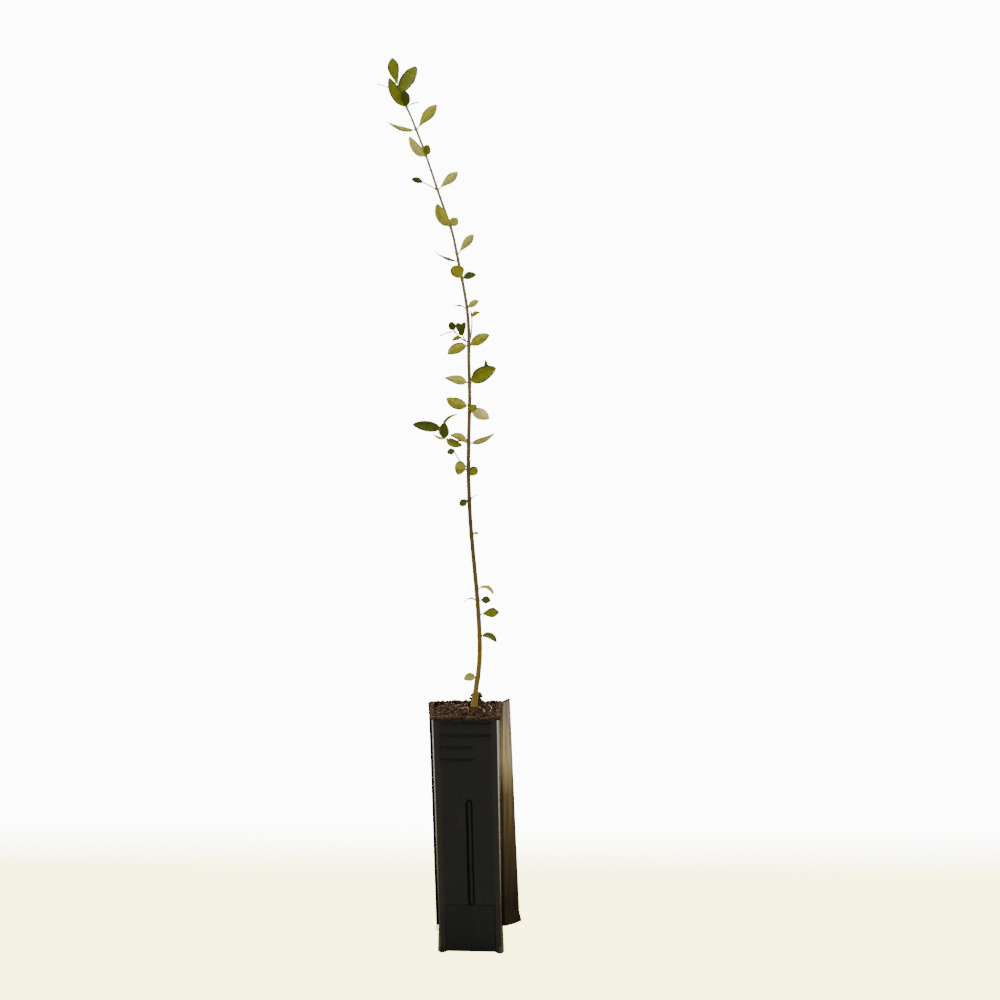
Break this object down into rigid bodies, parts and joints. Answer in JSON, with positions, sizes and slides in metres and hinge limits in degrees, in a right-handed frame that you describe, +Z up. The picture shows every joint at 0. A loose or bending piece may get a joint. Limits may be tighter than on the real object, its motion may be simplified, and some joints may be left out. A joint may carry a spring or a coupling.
{
  "type": "potted mock privet seedling",
  "caption": "Forestry seedling with one slender leaning stem and sparse opposite leaves, standing in a tall narrow two-shell nursery pot filled with peat.",
  "frame": {"origin": "middle of the pot's flat underside", "axes": "+Z up, +X to the right of the pot's ribbed front, +Y to the back, so the ribbed front faces -Y"},
  "size_m": [0.09, 0.0593, 0.6576],
  "materials": {
    "black_plastic": "glossy, thin",
    "peat": "moist, crumbly",
    "bark": "smooth young bark",
    "foliage": "leathery leaves"
  },
  "bodies": {
    "root": {"pot_front_shell": "black_plastic", "pot_rear_shell": "black_plastic", "pot_base": "black_plastic", "root_ball": "peat", "stem": "bark", "leaves_01": "foliage", "leaves_02": "foliage", "leaves_03": "foliage", "leaves_04": "foliage", "leaves_05": "foliage", "leaves_06": "foliage", "leaves_07": "foliage", "leaves_08": "foliage", "leaves_09": "foliage", "leaves_10": "foliage", "leaves_11": "foliage", "leaves_12": "foliage", "leaves_13": "foliage", "leaves_14": "foliage", "leaves_15": "foliage", "leaves_16": "foliage", "leaves_17": "foliage", "leaves_18": "foliage", "leaves_19": "foliage", "leaves_20": "foliage", "leaves_21": "foliage", "leaves_22": "foliage", "leaves_23": "foliage", "leaves_24": "foliage", "side_shoot_left": "foliage", "side_shoot_lowest": "foliage", "side_shoot_right": "foliage", "side_shoot_upper_left": "foliage", "side_shoot_upper_right": "foliage"}
  },
  "joints": []
}
